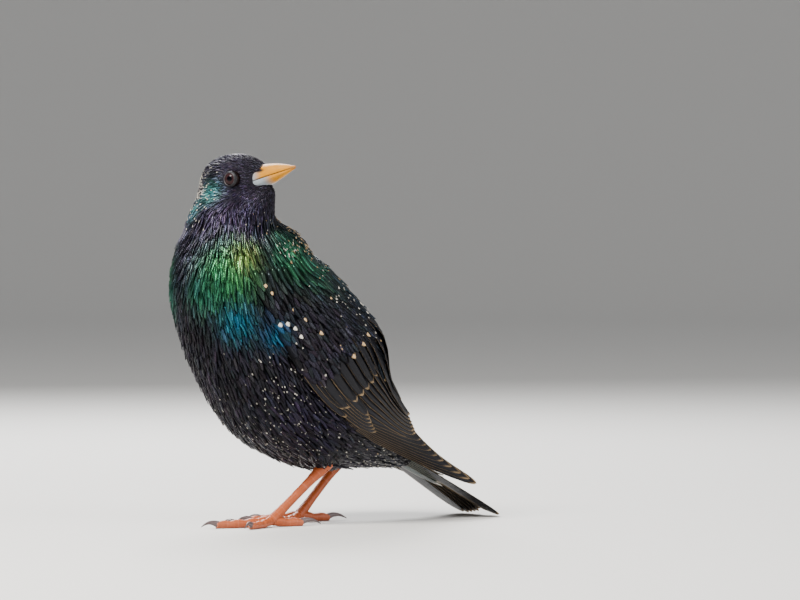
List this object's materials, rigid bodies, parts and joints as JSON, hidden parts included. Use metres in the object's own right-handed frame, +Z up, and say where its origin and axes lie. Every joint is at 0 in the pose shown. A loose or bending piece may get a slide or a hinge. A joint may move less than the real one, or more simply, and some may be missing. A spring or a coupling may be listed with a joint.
{
  "type": "common starling",
  "caption": "Life-size starling that stands on two feet and looks back over its shoulder, with folded feathered wings and a square tail laid down to the floor.",
  "frame": {"origin": "on the floor, under the middle of the overall box", "axes": "+Z up, the body faces -X, the bird's left side is -Y, and the tail points to +X"},
  "size_m": [0.1452, 0.0654, 0.1426],
  "materials": {
    "plumage": "satin",
    "flight": "satin",
    "bill": "gloss",
    "eye": "gloss",
    "leg": "matte",
    "claw": "satin"
  },
  "bodies": {
    "root": {"head": "plumage", "neck": "plumage", "torso": "plumage", "bill_upper": "bill", "bill_lower": "bill", "tail": "flight", "eye_left": "eye", "wing_left": "flight", "thigh_left": "plumage", "shank_left": "leg", "foot_left": "leg", "claw_left_inner": "claw", "claw_left_middle": "claw", "claw_left_outer": "claw", "claw_left_hind": "claw", "eye_right": "eye", "wing_right": "flight", "thigh_right": "plumage", "shank_right": "leg", "foot_right": "leg", "claw_right_inner": "claw", "claw_right_middle": "claw", "claw_right_outer": "claw", "claw_right_hind": "claw"}
  },
  "joints": []
}
